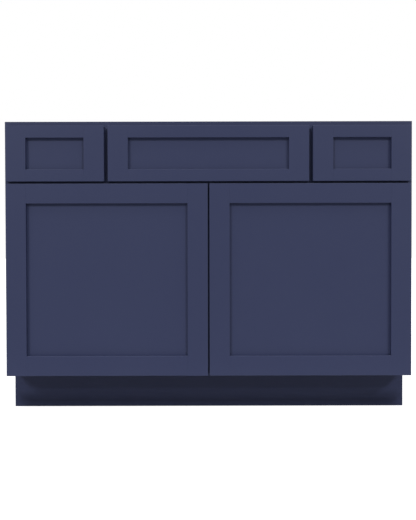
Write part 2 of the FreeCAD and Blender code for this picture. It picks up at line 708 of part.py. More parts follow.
def slide_member(low, high, front, back, inset, open_side):
    """A straight folded member. Its section is open at the top, open at the bottom, or closed."""
    width = f"slide_width - 2 * ({inset})"
    height = f"{high} - ({low})"
    metal = "slide_metal"
    far = f"{width} - {metal}"
    if open_side == "top":
        loops = [[("0", "0"), (width, "0"), (width, height), (far, height), (far, metal),
                  (metal, metal), (metal, height), ("0", height)]]
    elif open_side == "bottom":
        under = f"{height} - {metal}"
        loops = [[("0", "0"), (metal, "0"), (metal, under), (far, under), (far, "0"),
                  (width, "0"), (width, height), ("0", height)]]
    else:
        loops = [rectangle("0", "0", width, height),
                 rectangle(metal, metal, f"{width} - 2 * {metal}", f"{height} - 2 * {metal}")]
    member = pad(new_body(), "XZ", "0", f"{back} - ({front})", *loops)
    return place(member, f"slide_left + {inset}", front, low)


def both_slides(member):
    return [member, mirrored(member, "x", "drawer_middle")]


node("slide_channels", on_both_sides(both_slides(slide_member(
    "opening_low", "opening_low + channel_height", "channel_front", "channel_back", "0", "top"))))
pair_of_nodes("drawer", "_slide_middles", group(both_slides(slide_member(
    "opening_low + mid_inset", "box_bottom_low - mid_inset", "runner_front", "box_back", "mid_inset",
    "none"))))
pair_of_nodes("drawer", "_runners", group(both_slides(slide_member(
    "runner_low", "box_bottom_low", "runner_front", "box_back", "0", "bottom"))))
lock = board(("slide_left", "front_back + box_board", "runner_low"),
             ("slide_width", "lock_length", "box_bottom_low - runner_low"))
pair_of_nodes("drawer", "_locks", group(both_slides(lock)))


def rear_bracket():
    """Moulded shelf under the channel's end, with a plate on the back rail."""
    length = "back_rail_front - channel_back + bracket_overlap"
    plate = f"{length} - bracket_wall"
    body = pad(new_body(), "YZ", "0", "bracket_width", [
        ("0", "0"), (plate, "0"), (plate, "bracket_rise"), (length, "bracket_rise"),
        (length, "-bracket_rise"), (plate, "-bracket_rise"), ("0", "-bracket_wall"),
    ])
    for across in (0.25, 0.75):
        pocket(body, "XZ", plate, "bracket_wall",
               (f"bracket_width * {across}", "bracket_rise * 3 / 5", "screw_radius"))
    return body


bracket_left = "slide_left + slide_width / 2 - bracket_width / 2"
bracket = place(rear_bracket(), bracket_left, "channel_back - bracket_overlap", "opening_low")
node("slide_rear_brackets", on_both_sides(both_slides(bracket)))
bracket_screws = [
    screwed(SHORT_SCREW, "front", f"drawer_middle + {side} * ({bracket_left} + bracket_width * {across}"
            " - drawer_middle)", "back_rail_front - bracket_wall", "opening_low + bracket_rise * 3 / 5")
    for side in (1, -1) for across in (0.25, 0.75)
]
node("cabinet_screws", on_both_sides(hinge_screws + clip_screws + brace_screws + bracket_screws))

# ---------------------------------------------------------------- bumpers

def bumper():
    """Round pad with a rounded rim. It stands on the face frame and points at the fronts."""
    height = "(front_gap - bumper_play)"
    return turned_body([
        ("0", "0"), ("bumper_radius", "0"), ("bumper_radius", f"{height} / 2"),
        ("bumper_radius * 3 / 4", height), ("0", height),
    ])


BUMPER = bumper()
upper_row = "(opening_high + front_high) / 2"
lower_row = "(drawer_front_low + opening_low) / 2"
bumper_places = [
    ("-(door_gap / 2 + bumper_inset)", "(mid_rail_low + door_high) / 2"),
    ("-(door_gap / 2 + bumper_inset)", "(door_low + floor_top) / 2"),
]
for row in (upper_row, lower_row):
    bumper_places += [
        ("(front_left + frame_opening_left) / 2", row),
        ("(drawer_stile_left_edge + front_left + drawer_front_width) / 2", row),
        ("(fixed_front_left + drawer_stile_right_edge) / 2", row),
    ]
node("bumpers", on_both_sides([
    screwed(BUMPER, "front", x, "frame_front", z) for x, z in bumper_places
]))

# ---------------------------------------------------------------- checks and files

DOCUMENT.recompute()
for item in DOCUMENT.Objects:
    if "Invalid" in item.State or "Error" in item.State:
        raise RuntimeError(f"{item.Label} ({item.Name}) is {item.State}")
for label, item in NODES.items():
    if item.Shape.isNull() or not item.Shape.isValid() or not item.Shape.Solids:
        raise RuntimeError(f"{label} has no sound shape")

os.makedirs("parts", exist_ok=True)
for label, item in NODES.items():
    item.Shape.exportStep(f"parts/{label}.step")
print(f"{len(NODES)} nodes, {sum(len(item.Shape.Solids) for item in NODES.values())} solids")
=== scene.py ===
# %% [markdown]
# # A painted bathroom vanity base
#
# The cabinet's real shapes and sizes come from a CAD model, which this script loads as a fixed
# frame. Here each piece gets what a maker would see close up: eased edges, paint with the faint
# texture that a spray gun leaves, birch plywood with its layers, plated steel and moulded nylon.
# Everything is in metres, +Z is up and the doors face -Y.

# %% Load the frame
import json
import math

import bmesh
import bpy
from mathutils import Matrix, Vector


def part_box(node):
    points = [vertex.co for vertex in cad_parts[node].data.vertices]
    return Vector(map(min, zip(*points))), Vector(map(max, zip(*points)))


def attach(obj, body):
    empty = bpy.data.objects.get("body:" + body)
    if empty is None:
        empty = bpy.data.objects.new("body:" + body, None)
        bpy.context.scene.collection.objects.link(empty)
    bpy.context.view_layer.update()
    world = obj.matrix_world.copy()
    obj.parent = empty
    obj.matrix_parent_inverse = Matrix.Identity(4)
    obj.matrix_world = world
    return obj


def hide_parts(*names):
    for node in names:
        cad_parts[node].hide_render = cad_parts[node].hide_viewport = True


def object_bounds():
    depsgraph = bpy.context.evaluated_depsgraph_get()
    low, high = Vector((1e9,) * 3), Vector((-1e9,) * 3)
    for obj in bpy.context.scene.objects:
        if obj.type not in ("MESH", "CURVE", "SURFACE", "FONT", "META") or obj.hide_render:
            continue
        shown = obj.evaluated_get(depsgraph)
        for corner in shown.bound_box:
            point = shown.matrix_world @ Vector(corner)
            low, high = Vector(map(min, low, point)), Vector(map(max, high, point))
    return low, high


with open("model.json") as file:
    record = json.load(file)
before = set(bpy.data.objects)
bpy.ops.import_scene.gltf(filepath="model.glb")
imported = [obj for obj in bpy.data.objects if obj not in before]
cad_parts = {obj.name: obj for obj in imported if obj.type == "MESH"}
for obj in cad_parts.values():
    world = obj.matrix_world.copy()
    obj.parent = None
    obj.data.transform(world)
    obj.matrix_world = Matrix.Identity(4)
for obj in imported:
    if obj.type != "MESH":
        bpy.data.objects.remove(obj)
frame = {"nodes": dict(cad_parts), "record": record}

cad_box = [[float(number) for number in corner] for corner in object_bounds()]
low, high = (Vector(corner) for corner in cad_box)
MM = 0.001
print("the cabinet measures", [round(size / MM, 1) for size in high - low], "mm")

# %% [markdown]
# ## Camera
#
# A catalogue picture of a cabinet is taken from straight in front, a little above its middle,
# from less than two metres away, so that the recessed toe kick looks narrower than the doors.
# The sensor is shifted only by the tiny amount that the framing needs, so that the same camera
# also serves for views from other sides.

# %% Camera
CAMERA_DISTANCE, CAMERA_HEIGHT = 1.6673, 0.5056     # metres from the fronts and above the floor
CAMERA_DOWN, CAMERA_ROLL = 0.807, 0.125             # degrees

camera_data = bpy.data.cameras.new("camera")
camera_data.sensor_width = 36.0
camera_data.lens = 38.94
camera_data.shift_x = -0.0012
camera_data.shift_y = -0.0131
camera = bpy.data.objects.new("camera", camera_data)
bpy.context.scene.collection.objects.link(camera)
camera.location = (0.0, low.y - CAMERA_DISTANCE, CAMERA_HEIGHT)
camera.rotation_euler = (math.radians(90 - CAMERA_DOWN), math.radians(CAMERA_ROLL), 0.0)
bpy.context.scene.camera = camera
print("camera at", [round(place, 3) for place in camera.location])

# %% [markdown]
# ## Nodes in few words
#
# A shader is a small network. This helper adds a node, sets its options, and either sets an
# input to a number or wires it to another node's output.

# %% A helper for shader nodes
def add_node(tree, kind, inputs=(), **options):
    """Add one shader node. Its inputs are numbers, colours, or the sockets that feed them."""
    node = tree.nodes.new("ShaderNode" + kind)
    for option, choice in options.items():
        setattr(node, option, choice)
    for socket, source in dict(inputs).items():
        if isinstance(source, bpy.types.NodeSocket):
            tree.links.new(source, node.inputs[socket])
        else:
            node.inputs[socket].default_value = source
    return node.outputs


print("helper ready: add_node")

# %% [markdown]
# ## Studio
#
# The floor and the air behind the cabinet are as pale as paper in the camera's eye, yet so much
# light from below would fill up the shadows under the rails. The Light Path node tells the two
# jobs apart: rays from the camera see white, and every other ray sees a greyer floor and dimmer
# air. Three soft lights are very far off, so that the doors are as bright at the bottom as at
# the top. Two stand to the left and right, which keeps the upright gaps dark, and one hangs
# overhead. A card just under the doors, which the camera doesn't see, shades the toe kick.

# %% Floor and surrounding air
WHITE, FELT_FLOOR = (1.0, 1.0, 1.0, 1.0), (0.60, 0.60, 0.61, 1.0)
SEEN_FLOOR, FLOOR_GLOW = (0.6, 0.6, 0.6, 1.0), 0.87
SEEN_AIR, FELT_AIR = 1.0, 0.28


def studio_plane(name, width, depth, place, material):
    """A level plane that belongs to the studio, not to the cabinet."""
    bpy.ops.object.select_all(action="DESELECT")
    bpy.ops.mesh.primitive_plane_add(size=1.0)
    plane = bpy.context.object
    plane.name = name
    plane.scale, plane.location = (width, depth, 1.0), place
    bpy.ops.object.transform_apply()
    plane.data.materials.append(material)
    return plane


floor_finish = bpy.data.materials.new("pale_floor")
floor_finish.use_nodes = True
tree = floor_finish.node_tree
tree.nodes.clear()
from_camera = add_node(tree, "LightPath")["Is Camera Ray"]
glow = add_node(tree, "Emission", {"Color": WHITE, "Strength": FLOOR_GLOW})["Emission"]
lit = add_node(tree, "BsdfDiffuse", {"Color": SEEN_FLOOR})["BSDF"]
dim = add_node(tree, "BsdfDiffuse", {"Color": FELT_FLOOR})["BSDF"]
seen_floor = add_node(tree, "AddShader", {0: glow, 1: lit})[0]
floor_mix = add_node(tree, "MixShader", {0: from_camera, 1: dim, 2: seen_floor})[0]
add_node(tree, "OutputMaterial", {"Surface": floor_mix})
studio_plane("studio_floor", 40.0, 40.0, (0.0, 0.0, -0.5 * MM), floor_finish)

world = bpy.data.worlds.new("studio_air")
bpy.context.scene.world = world
world.use_nodes = True
tree = world.node_tree
tree.nodes.clear()
from_camera = add_node(tree, "LightPath")["Is Camera Ray"]
seen_air = add_node(tree, "Background", {"Color": WHITE, "Strength": SEEN_AIR})[0]
felt_air = add_node(tree, "Background", {"Color": WHITE, "Strength": FELT_AIR})[0]
air_mix = add_node(tree, "MixShader", {0: from_camera, 1: felt_air, 2: seen_air})[0]
add_node(tree, "OutputWorld", {"Surface": air_mix})
bpy.context.scene.view_settings.view_transform = "Standard"
print("floor and air are in place")

# %% Soft light from above
def far_softbox(name, turn, elevation, spread, strength):
    """A very distant soft light. Its angles and its spread are in degrees."""
    data = bpy.data.lights.new(name, "SUN")
    data.angle = math.radians(spread)
    data.energy = strength
    lamp = bpy.data.objects.new(name, data)
    bpy.context.scene.collection.objects.link(lamp)
    lamp.rotation_euler = (math.radians(90 - elevation), 0.0, math.radians(turn))


SIDE_TURN, SIDE_ELEVATION, SIDE_SPREAD, SIDE_STRENGTH = 34.0, 32.0, 12.0, 1.02
far_softbox("left_softbox", -SIDE_TURN, SIDE_ELEVATION, SIDE_SPREAD, SIDE_STRENGTH)
far_softbox("right_softbox", SIDE_TURN, SIDE_ELEVATION, SIDE_SPREAD, SIDE_STRENGTH)
far_softbox("top_softbox", turn=0.0, elevation=76.0, spread=30.0, strength=1.0)
print("three soft lights from above and in front")

# %% Card over the toe kick
CARD_REACH, CARD_DROP = 0.060, 0.004    # metres in front of the doors, and below them
card_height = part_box("door_left_rails")[0].z - CARD_DROP

card_finish = bpy.data.materials.new("grey_card")
card_finish.use_nodes = True
card_look = card_finish.node_tree.nodes["Principled BSDF"].inputs
card_look["Base Color"].default_value = (0.8, 0.8, 0.8, 1.0)
card = studio_plane("studio_card", high.x - low.x + 2 * CARD_REACH, CARD_REACH,
                    (0.0, low.y - CARD_REACH / 2, card_height), card_finish)
card.visible_camera = card.visible_glossy = False
print("card at height", round(card_height, 3))

# %% [markdown]
# ## Shared effects
#
# Each effect that several finishes use is a node group with named inputs, as a paint shop keeps
# one recipe and changes only its tint. A group gives out colours, roughness and height. Every
# group reads the place on the piece itself, so that its pattern stays put on a moving door.

# %% A helper for shader groups
def new_group(name, inputs, outputs):
    """A shader group with named sockets. Returns the group, its inputs and its outputs."""
    group = bpy.data.node_groups.new(name, "ShaderNodeTree")
    kinds = {"vector": "NodeSocketVector", "colour": "NodeSocketColor", "number": "NodeSocketFloat"}
    for side, sockets in (("INPUT", inputs), ("OUTPUT", outputs)):
        for label, kind in sockets:
            group.interface.new_socket(label, in_out=side, socket_type=kinds[kind])
    given = group.nodes.new("NodeGroupInput").outputs
    return group, given, group.nodes.new("NodeGroupOutput").inputs


def noise(tree, place, scale, detail=2.0, distortion=0.0):
    """Cloudy noise between 0 and 1."""
    return add_node(tree, "TexNoise", {"Vector": place, "Scale": scale, "Detail": detail,
                                       "Distortion": distortion})["Fac"]


def rescale(tree, source, start, end):
    """Turn a 0 to 1 mask into numbers from start to end. Either may be a socket."""
    return add_node(tree, "MapRange", {"Value": source, "To Min": start, "To Max": end},
                    clamp=False)["Result"]


def blend(tree, mask, first, second):
    return add_node(tree, "Mix", {0: mask, 6: first, 7: second}, data_type="RGBA")[2]


def maths(tree, operation, *numbers):
    return add_node(tree, "Math", dict(enumerate(numbers)), operation=operation)[0]


LOOK = [("Color", "colour"), ("Roughness", "number"), ("Height", "number")]
print("helpers ready: new_group, noise, rescale, blend, maths")

# %% [markdown]
# ### Sprayed paint
#
# Satin paint from a spray gun is not a flat colour. It has a very faint orange peel about a
# millimetre across and thicker and thinner clouds the size of a hand. Its sharp edges are painted
# a shade lighter, partly because the paint draws back there and partly as a painted highlight for
# the light that the eased edges catch. The edge mask is kept on the mesh as the attribute
# "arris", because only the modeller knows where an edge was eased.

# %% Group: sprayed paint
sprayed_paint, given, result = new_group(
    "sprayed_paint",
    [("Place", "vector"), ("Paint", "colour"), ("Thin Paint", "colour"), ("Arris", "number"),
     ("Cloud", "number"), ("Gloss Low", "number"), ("Gloss High", "number"), ("Peel", "number")], LOOK)
tree = sprayed_paint
clouds = noise(tree, given["Place"], 3.1, 4.0)
mottle = noise(tree, given["Place"], 42.0, 3.0)
clouds = maths(tree, "SUBTRACT", clouds, 0.5)
mottle = maths(tree, "MULTIPLY", maths(tree, "SUBTRACT", mottle, 0.5), 0.12)
cloud_mask = maths(tree, "MULTIPLY_ADD", clouds, given["Cloud"], mottle)
# The arris mask lightens the paint on eased edges: partly thinner paint, partly a painted highlight
thin_paint_and_highlight = maths(tree, "MULTIPLY_ADD", given["Arris"], 0.35, cloud_mask)
thin_paint_and_highlight = maths(tree, "MAXIMUM", maths(tree, "ADD", thin_paint_and_highlight, 0.2), 0.0)
tree.links.new(blend(tree, thin_paint_and_highlight, given["Paint"], given["Thin Paint"]), result["Color"])
wiped = noise(tree, given["Place"], 11.0, 5.0, 0.8)
tree.links.new(rescale(tree, wiped, given["Gloss Low"], given["Gloss High"]), result["Roughness"])
peel = maths(tree, "MULTIPLY_ADD", noise(tree, given["Place"], 900.0, 1.0), given["Peel"],
             maths(tree, "MULTIPLY", noise(tree, given["Place"], 210.0), 0.5))
tree.links.new(peel, result["Height"])
print("group", sprayed_paint.name, "has", len(tree.nodes), "nodes")

# %% [markdown]
# ### Birch
#
# Rotary-cut birch is pale, with long soft flames and short darker pores, all stretched along the
# grain. The group takes a place that is already squeezed along the grain, so one recipe serves
# boards that run in any direction.

# %% Group: birch figure
birch_figure, given, result = new_group(
    "birch_figure",
    [("Place", "vector"), ("Pale", "colour"), ("Warm", "colour"), ("Pore", "colour"),
     ("Flame", "number"), ("Pores", "number")], LOOK)
tree = birch_figure
flame = noise(tree, given["Place"], 1.4, 6.0, 1.6)
ribs = noise(tree, given["Place"], 9.0, 3.0, 0.4)
flame = maths(tree, "MULTIPLY_ADD", ribs, 0.35, maths(tree, "MULTIPLY", flame, 0.9))
flame = rescale(tree, flame, -0.6, 1.5)
flame = maths(tree, "MULTIPLY", flame, given["Flame"])
body_colour = blend(tree, flame, given["Pale"], given["Warm"])
pores = noise(tree, given["Place"], 85.0)
deepest = maths(tree, "MAXIMUM", maths(tree, "SUBTRACT", pores, 0.56), 0.0)
pore_mask = maths(tree, "MULTIPLY", deepest, given["Pores"])
tree.links.new(blend(tree, pore_mask, body_colour, given["Pore"]), result["Color"])
tree.links.new(rescale(tree, ribs, 0.38, 0.55), result["Roughness"])
tree.links.new(maths(tree, "MULTIPLY_ADD", pores, -0.6, ribs), result["Height"])
print("group", birch_figure.name, "has", len(tree.nodes), "nodes")

# %% [markdown]
# ### Plywood layers
#
# On a sawn edge plywood shows its layers, every other one on end and darker, with thin glue
# lines between. The layers must follow the sheet's thickness whichever way it stands, so the
# modeller stores how deep each point lies in the sheet, from 0 to 1, as the attribute "ply".

# %% Group: plywood layers
plywood_layers, given, result = new_group(
    "plywood_layers",
    [("Place", "vector"), ("Depth", "number"), ("Layers", "number"), ("Pale", "colour"),
     ("End Grain", "colour"), ("Glue", "colour")], LOOK)
tree = plywood_layers
wander = maths(tree, "SUBTRACT", noise(tree, given["Place"], 60.0), 0.5)
wander = maths(tree, "MULTIPLY", wander, 0.25)
layer = maths(tree, "MULTIPLY_ADD", given["Depth"], given["Layers"], wander)
on_end = maths(tree, "GREATER_THAN", maths(tree, "PINGPONG", layer, 1.0), 0.5)
fibres = noise(tree, given["Place"], 900.0, 3.0)
on_end = maths(tree, "MULTIPLY", on_end, rescale(tree, fibres, 0.3, 1.1))
layer_colour = blend(tree, on_end, given["Pale"], given["End Grain"])
from_joint = maths(tree, "FRACT", maths(tree, "ADD", layer, 0.5))
from_joint = maths(tree, "ABSOLUTE", maths(tree, "SUBTRACT", from_joint, 0.5))
glue_line = maths(tree, "LESS_THAN", from_joint, 0.08)
glue_mask = maths(tree, "MULTIPLY", glue_line, 0.7)
tree.links.new(blend(tree, glue_mask, layer_colour, given["Glue"]), result["Color"])
tree.links.new(rescale(tree, fibres, 0.6, 0.8), result["Roughness"])
tree.links.new(maths(tree, "MULTIPLY_ADD", glue_line, -0.5, fibres), result["Height"])
print("group", plywood_layers.name, "has", len(tree.nodes), "nodes")

# %% [markdown]
# ### Plated steel and moulded nylon
#
# Zinc plate over rolled steel is cloudy, with fine lines along the roll. Nickel plate is
# smoother. Moulded nylon has a spark-eroded grain and faint flow marks.

# %% Groups: plated steel, moulded nylon
plated_steel, given, result = new_group(
    "plated_steel",
    [("Place", "vector"), ("Bright", "colour"), ("Dull", "colour"), ("Gloss Low", "number"),
     ("Gloss High", "number")], LOOK)
tree = plated_steel
bloom = noise(tree, given["Place"], 0.35, 5.0, 0.7)
rolled = noise(tree, given["Place"], 14.0)
bloom = rescale(tree, bloom, -0.7, 1.7)
tree.links.new(blend(tree, bloom, given["Bright"], given["Dull"]), result["Color"])
gloss = maths(tree, "MULTIPLY_ADD", rolled, 0.35, maths(tree, "MULTIPLY", bloom, 0.65))
tree.links.new(rescale(tree, gloss, given["Gloss Low"], given["Gloss High"]), result["Roughness"])
tree.links.new(rolled, result["Height"])

moulded_nylon, given, result = new_group(
    "moulded_nylon",
    [("Place", "vector"), ("Fresh", "colour"), ("Chalky", "colour"), ("Grain", "number")], LOOK)
tree = moulded_nylon
flow = noise(tree, given["Place"], 38.0, 4.0, 1.2)
tree.links.new(blend(tree, flow, given["Fresh"], given["Chalky"]), result["Color"])
tree.links.new(rescale(tree, flow, 0.38, 0.6), result["Roughness"])
spark = noise(tree, given["Place"], 1600.0)
tree.links.new(maths(tree, "MULTIPLY", spark, given["Grain"]), result["Height"])
print("groups", plated_steel.name, "and", moulded_nylon.name)

# %% [markdown]
# ## Finishes
#
# A finish is one group with its own values, a bump, and a Principled shader. The squeeze gives
# how much the pattern is stretched along each axis: a small number makes long streaks that way.

# %% Finishes
def finish(name, group, values, bump, squeeze=(1.0, 1.0, 1.0), attribute=None, **shader):
    """A material whose colour, roughness and relief come from one shader group."""
    material = bpy.data.materials.new(name)
    material.use_nodes = True
    tree = material.node_tree
    principled = tree.nodes["Principled BSDF"]
    place = add_node(tree, "TexCoord")["Object"]
    place = add_node(tree, "Mapping", {"Vector": place, "Scale": squeeze})[0]
    recipe = tree.nodes.new("ShaderNodeGroup")
    recipe.node_tree = group
    tree.links.new(place, recipe.inputs["Place"])
    for label, number in values.items():
        recipe.inputs[label].default_value = number
    if attribute:
        label, stored = attribute
        mask = add_node(tree, "Attribute", attribute_name=stored)["Fac"]
        tree.links.new(mask, recipe.inputs[label])
    tree.links.new(recipe.outputs["Color"], principled.inputs["Base Color"])
    tree.links.new(recipe.outputs["Roughness"], principled.inputs["Roughness"])
    strength, relief = bump
    raised = add_node(tree, "Bump", {"Strength": strength, "Distance": relief * MM,
                                     "Height": recipe.outputs["Height"]})["Normal"]
    tree.links.new(raised, principled.inputs["Normal"])
    for label, number in shader.items():
        principled.inputs[label.replace("_", " ")].default_value = number
    return material


def colour(red, green, blue):
    return (red, green, blue, 1.0)


# The lighter second colour goes on the arrises, partly as a painted highlight
navy_paint = finish(
    "navy_paint", sprayed_paint,
    {"Paint": colour(0.0315, 0.0395, 0.0945), "Thin Paint": colour(0.046, 0.056, 0.116),
     "Cloud": 0.35, "Gloss Low": 0.40, "Gloss High": 0.50, "Peel": 0.5},
    (0.3, 0.03), attribute=("Arris", "arris"), Specular_IOR_Level=0.25)

ALONG = {"x": (1.5, 14.0, 14.0), "y": (14.0, 1.5, 14.0), "z": (14.0, 14.0, 1.5)}
BIRCH = {"Pale": colour(0.70, 0.53, 0.345), "Warm": colour(0.56, 0.385, 0.215),
         "Pore": colour(0.38, 0.24, 0.13), "Flame": 0.8, "Pores": 2.0}
DRAWER_BIRCH = dict(BIRCH, Pale=colour(0.74, 0.57, 0.38), Warm=colour(0.62, 0.44, 0.26),
                    Flame=0.65)
birch_veneer, drawer_birch = (
    {axis: finish(f"{name}_{axis}", birch_figure, tints, (0.25, 0.05), squeeze)
     for axis, squeeze in ALONG.items()}
    for name, tints in (("birch_veneer", BIRCH), ("drawer_birch", DRAWER_BIRCH)))
birch_end_grain = finish(
    "birch_end_grain", birch_figure,
    dict(DRAWER_BIRCH, Pale=colour(0.50, 0.35, 0.20), Warm=colour(0.38, 0.25, 0.13), Pores=4.0),
    (0.35, 0.08), (22.0, 22.0, 22.0))
sawn_plywood = finish(
    "sawn_plywood", plywood_layers,
    {"Layers": 9.0, "Pale": colour(0.62, 0.46, 0.29), "End Grain": colour(0.34, 0.22, 0.12),
     "Glue": colour(0.16, 0.09, 0.05)}, (0.4, 0.08), attribute=("Depth", "ply"))
print("wood and paint:", navy_paint.name, sawn_plywood.name,
      len(birch_veneer) + len(drawer_birch), "birches")

# %% Finishes for fittings
zinc_plate = finish(
    "zinc_plate", plated_steel,
    {"Bright": colour(0.68, 0.69, 0.70), "Dull": colour(0.50, 0.51, 0.52), "Gloss Low": 0.22,
     "Gloss High": 0.48}, (0.15, 0.01), (60.0, 4.0, 60.0), Metallic=1.0)
screw_zinc = finish(
    "screw_zinc", plated_steel,
    {"Bright": colour(0.72, 0.72, 0.73), "Dull": colour(0.55, 0.55, 0.57), "Gloss Low": 0.2,
     "Gloss High": 0.42}, (0.15, 0.01), (160.0, 160.0, 160.0), Metallic=1.0)
nickel_plate = finish(
    "nickel_plate", plated_steel,
    {"Bright": colour(0.72, 0.69, 0.65), "Dull": colour(0.60, 0.57, 0.53), "Gloss Low": 0.14,
     "Gloss High": 0.32}, (0.1, 0.01), (90.0, 90.0, 12.0), Metallic=1.0)
white_nylon = finish(
    "white_nylon", moulded_nylon,
    {"Fresh": colour(0.82, 0.81, 0.77), "Chalky": colour(0.72, 0.71, 0.67), "Grain": 1.0},
    (0.25, 0.02), Subsurface_Weight=0.1)
grey_plastic = finish(
    "grey_plastic", moulded_nylon,
    {"Fresh": colour(0.28, 0.29, 0.31), "Chalky": colour(0.35, 0.36, 0.38), "Grain": 1.0},
    (0.3, 0.03))
clear_rubber = finish(
    "clear_rubber", moulded_nylon,
    {"Fresh": colour(0.80, 0.80, 0.78), "Chalky": colour(0.70, 0.70, 0.67), "Grain": 0.3},
    (0.1, 0.01), Transmission_Weight=0.55, IOR=1.49)
print("fittings:", zinc_plate.name, screw_zinc.name, nickel_plate.name, white_nylon.name,
      grey_plastic.name, clear_rubber.name)

# %% [markdown]
# ## Working on pieces
#
# An operator acts on whatever is selected, so a piece is always picked alone first. A copy of a
# CAD node starts as loose triangles: its doubles are merged and its flat faces are joined up
# again, and then its edges can be eased. The copy stands for its node and rides on the same body.

# %% Helpers to pick and copy
BODY_OF = {node: body for body, nodes in frame["record"]["behaviour"]["bodies"].items()
           for node in nodes}


def only(*pieces):
    """Deselect everything, then pick these pieces. The last one is the active one."""
    bpy.ops.object.select_all(action="DESELECT")
    for piece in pieces:
        piece.select_set(True)
    bpy.context.view_layer.objects.active = pieces[-1]


def stands_for(piece, node):
    """The piece takes a CAD node's place and rides on the node's body."""
    piece.name = node + ".made"
    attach(piece, BODY_OF[node])
    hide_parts(node)
    return piece


def merged_copy(node):
    """A clean copy of a CAD node's mesh, with whole flat faces in place of triangles."""
    piece = bpy.data.objects.new(node + ".made", frame["nodes"][node].data.copy())
    bpy.context.scene.collection.objects.link(piece)
    piece.data.materials.clear()
    only(piece)
    bpy.ops.mesh.customdata_custom_splitnormals_clear()
    bpy.ops.object.mode_set(mode="EDIT")
    bpy.ops.mesh.select_all(action="SELECT")
    bpy.ops.mesh.remove_doubles(threshold=0.01 * MM)
    bpy.ops.mesh.dissolve_limited(angle_limit=math.radians(0.6))
    bpy.ops.object.mode_set(mode="OBJECT")
    return stands_for(piece, node)


# %% [markdown]
# ## Eased edges
#
# No painted edge is knife sharp: it is sanded to a radius of about a millimetre, and that small
# round is what catches the light from above. A joint between two pieces of a door frame is
# sanded far less and shows only as a hairline. A Bevel modifier takes its width from a weight on
# each edge, so a rule per piece decides how much each edge is eased. Faces narrower than the
# bevel are then marked as "arris" for the paint.

# %% Helper to ease edges
def ease(piece, width, share=lambda middle, along: 1.0, sharp=32.0, segments=3):
    """Round the sharp edges of a piece. The rule gives each edge's share of the width."""
    mesh = piece.data
    shape = bmesh.new()
    shape.from_mesh(mesh)
    weights = shape.edges.layers.float.new("bevel_weight_edge")
    for edge in shape.edges:
        if len(edge.link_faces) == 2 and edge.calc_face_angle(0.0) > math.radians(sharp):
            start, end = (vertex.co for vertex in edge.verts)
            along = (end - start).normalized()
            edge[weights] = share((start + end) / 2, along)
    shape.to_mesh(mesh)
    shape.free()
    only(piece)
    round_over = piece.modifiers.new("round_over", "BEVEL")
    round_over.width = width * MM
    round_over.segments = segments
    round_over.limit_method = "WEIGHT"
    bpy.ops.object.modifier_apply(modifier=round_over.name)
    bpy.ops.object.shade_smooth_by_angle(angle=math.radians(40))
    flat_faces = piece.modifiers.new("flat_faces", "WEIGHTED_NORMAL")
    flat_faces.keep_sharp = True
    bpy.ops.object.modifier_apply(modifier=flat_faces.name)
    return piece


NARROW_SHARE = 0.75     # a face thinner than this share of the bevel's width is part of an arris


# The paint colours these arrises a shade lighter, which is partly a painted highlight
def mark_arrises(piece, width):
    """Store 1 on the narrow faces that easing made, and 0 elsewhere."""
    mesh = piece.data
    marks = mesh.attributes.new("arris", "FLOAT", "CORNER")
    for face in mesh.polygons:
        corners = [mesh.vertices[index].co for index in face.vertices]
        longest = max((a - b).length for a, b in zip(corners, corners[1:] + corners[:1]))
        narrow = face.area < longest * width * NARROW_SHARE * MM
        for index in face.loop_indices:
            marks.data[index].value = 1.0 if narrow else 0.0


def painted(node, width, share=lambda middle, along: 1.0):
    """A CAD node's copy with eased edges, in navy paint."""
    piece = ease(merged_copy(node), width, share)
    mark_arrises(piece, width)
    piece.data.materials.append(navy_paint)


def fitting(node, width, material, sharp=50.0):
    """A CAD node's copy with small rounded folds, in one finish."""
    piece = ease(merged_copy(node), width, sharp=sharp, segments=2)
    piece.data.materials.append(material)
    return piece


print("helpers ready: ease, mark_arrises, painted, fitting")

# %% [markdown]
# ## Framed fronts
#
# Each door and drawer front is two stiles, two rails and a flat panel in a groove. The outer
# arrises are rounded most. Where a rail butts against a stile only a hairline shows. The groove
# itself is hidden, so its edges stay sharp.

# %% Framed fronts
FRONTS = {
    "door_left": ("_hinge_stile", "_lock_stile", "_rails"),
    "door_right": ("_hinge_stile", "_lock_stile", "_rails"),
    "drawer_left_front": ("_stiles", "_rails"),
    "drawer_right_front": ("_stiles", "_rails"),
    "false_front": ("_stiles", "_rails"),
}
GROOVE_DEPTH, PANEL_PLAY = 9.5, 1.0     # millimetres, like every width below
ARRIS, PANEL_ARRIS = 1.3, 0.4
HAIRLINE = 0.22                         # share of the arris that a butt joint gets
NEAR = 0.3 * MM                         # an edge or face this close to a plane lies on it


def front_rule(panel_low, panel_high, front, back):
    """How much to ease each edge of a front's frame, from where the edge lies."""
    hidden = (GROOVE_DEPTH - PANEL_PLAY) * MM
    joints = (panel_low.x + hidden, panel_high.x - hidden)

    def share(middle, along):
        if panel_low.y - 0.2 * MM < middle.y < panel_high.y + 0.2 * MM and abs(along.y) > 0.5:
            return 0.0
        if front + MM < middle.y < back - MM and abs(along.y) < 0.5:
            return 0.0
        return HAIRLINE if min(abs(middle.x - joint) for joint in joints) < NEAR else 1.0
    return share


for front, parts in FRONTS.items():
    panel_low, panel_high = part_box(front + "_panel")
    for part in parts:
        part_low, part_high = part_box(front + part)
        painted(front + part, ARRIS, front_rule(panel_low, panel_high, part_low.y, part_high.y))
    painted(front + "_panel", PANEL_ARRIS)
print(len(FRONTS), "framed fronts, arrises", ARRIS, "mm")

# %% [markdown]
# ## Face frame and toe kick
#
# The face frame is glued flush to the carcass and its joints are sanded level, so between its
# own pieces only a hairline is left. Its outer corners are eased almost like the doors, and its
# level front edges a little less.

# %% Face frame and toe kick
def frame_rule(middle, along):
    """Share of the frame's arris: most at the cabinet's sides, some on level front edges."""
    at_side = min(abs(middle.x - low.x), abs(middle.x - high.x)) < NEAR
    at_front = abs(middle.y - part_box("face_top_rail")[0].y) < NEAR
    return 0.8 if at_side else 0.5 if at_front and abs(along.z) < 0.5 else 0.15


